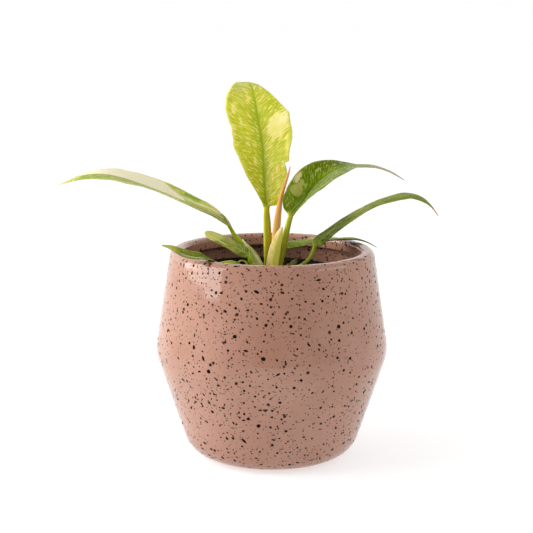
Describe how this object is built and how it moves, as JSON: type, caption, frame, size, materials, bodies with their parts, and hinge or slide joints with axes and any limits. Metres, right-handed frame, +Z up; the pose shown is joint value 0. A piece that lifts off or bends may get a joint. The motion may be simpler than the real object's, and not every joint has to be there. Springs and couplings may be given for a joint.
{
  "type": "potted philodendron",
  "caption": "potted philodendron with variegated lance-shaped leaves on arching stalks, in a black grow pot standing in a shouldered, speckled pink glazed ceramic pot",
  "frame": {"origin": "centre of the ceramic pot's flat foot, on the surface it stands on", "axes": "+Z up along the pot's axis, -Y the side seen in the picture, +X to that viewer's right"},
  "size_m": [0.2568, 0.1584, 0.2551],
  "materials": {
    "ceramic_pot": "gloss",
    "nursery_pot": "satin",
    "soil": "matte",
    "crown": "matte",
    "leaf_upright": "satin",
    "leaf_right_near": "gloss",
    "leaf_left_long": "satin",
    "leaf_right_long": "satin",
    "leaf_left_short": "satin",
    "leaf_left_low": "satin",
    "leaf_rear_right": "satin",
    "leaf_front_small": "satin",
    "leaf_front_hook": "satin",
    "new_leaf": "satin",
    "sheath_front": "satin",
    "sheath_left": "satin",
    "sheath_dry": "matte"
  },
  "bodies": {
    "root": {"ceramic_pot": "ceramic_pot", "nursery_pot": "nursery_pot", "soil": "soil", "crown": "crown", "leaf_upright": "leaf_upright", "leaf_right_near": "leaf_right_near", "leaf_left_long": "leaf_left_long", "leaf_right_long": "leaf_right_long", "leaf_left_short": "leaf_left_short", "leaf_left_low": "leaf_left_low", "leaf_rear_right": "leaf_rear_right", "leaf_front_small": "leaf_front_small", "leaf_front_hook": "leaf_front_hook", "new_leaf": "new_leaf", "sheath_front": "sheath_front", "sheath_left": "sheath_left", "sheath_dry": "sheath_dry"}
  },
  "joints": []
}
